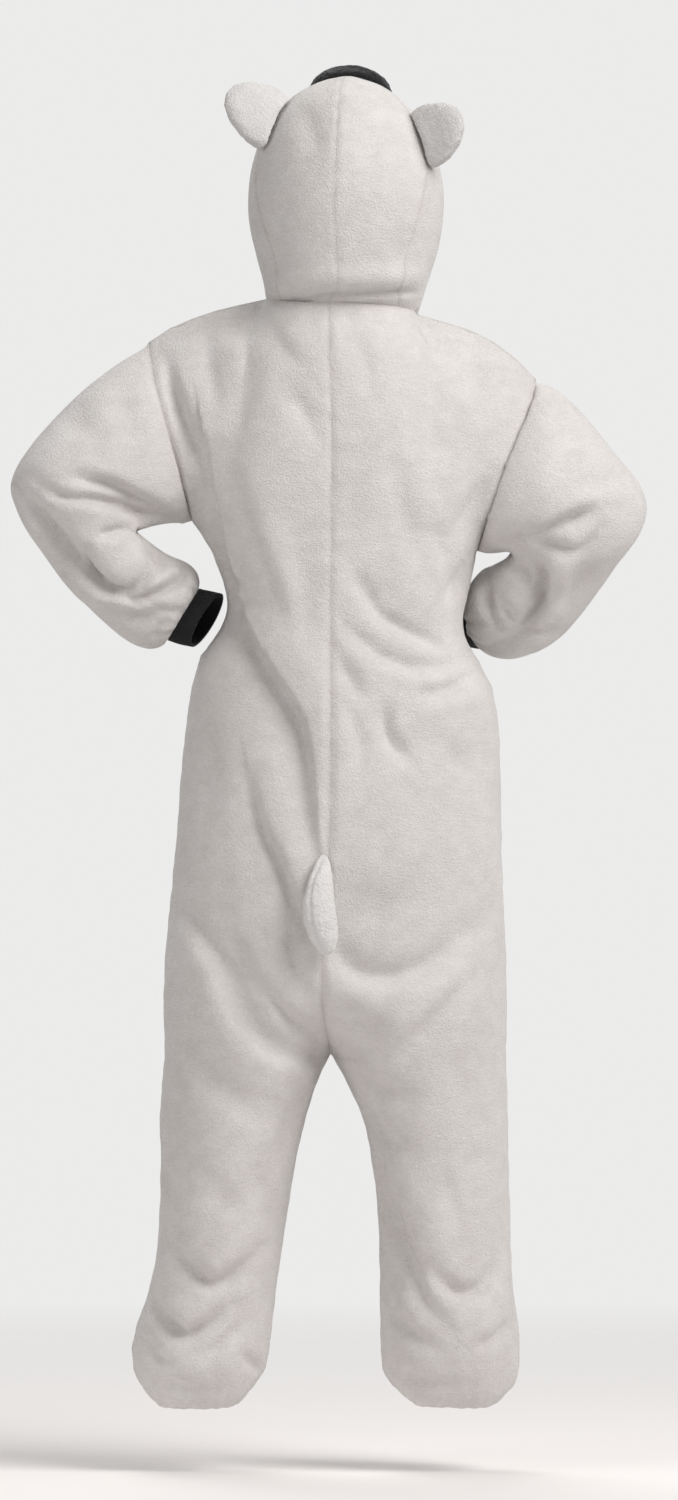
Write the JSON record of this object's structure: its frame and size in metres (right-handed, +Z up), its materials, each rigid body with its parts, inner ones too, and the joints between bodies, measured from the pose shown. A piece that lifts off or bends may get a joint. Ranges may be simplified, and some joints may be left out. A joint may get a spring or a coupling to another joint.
{
  "type": "koala onesie",
  "caption": "Grey plush animal onesie in a worn shape, arms bent to the waist, with an eared hood, black nose and cuffs and a short tail.",
  "frame": {"origin": "in the neck opening, level with the back of the neck seam, between the shoulder seams on which the garment hangs", "axes": "+Z up the standing wearer, the front faces -Y, +X is the wearer's left"},
  "size_m": [0.762, 0.3196, 1.6072],
  "materials": {
    "grey_plush": "short brushed polyester plush, soft nap with faint level streaks",
    "pale_plush": "longer, paler polyester plush",
    "black_rib": "matt rib knit",
    "black_plush": "short matt plush",
    "button_plastic": "satin, four holes"
  },
  "bodies": {
    "root": {"back_left": "grey_plush", "back_right": "grey_plush", "front_left": "grey_plush", "front_right": "grey_plush", "sleeve_left": "grey_plush", "sleeve_right": "grey_plush", "hood_back_left": "grey_plush", "hood_back_right": "grey_plush", "hood_front_left": "grey_plush", "hood_front_right": "grey_plush", "front_band": "grey_plush", "ear_back_left": "pale_plush", "ear_back_right": "pale_plush", "ear_front_left": "pale_plush", "ear_front_right": "pale_plush", "tail_left": "pale_plush", "tail_right": "pale_plush", "cuff_left": "black_rib", "cuff_right": "black_rib", "nose": "black_plush", "button_1": "button_plastic", "button_2": "button_plastic", "button_3": "button_plastic", "button_4": "button_plastic", "button_5": "button_plastic", "button_6": "button_plastic"}
  },
  "joints": []
}
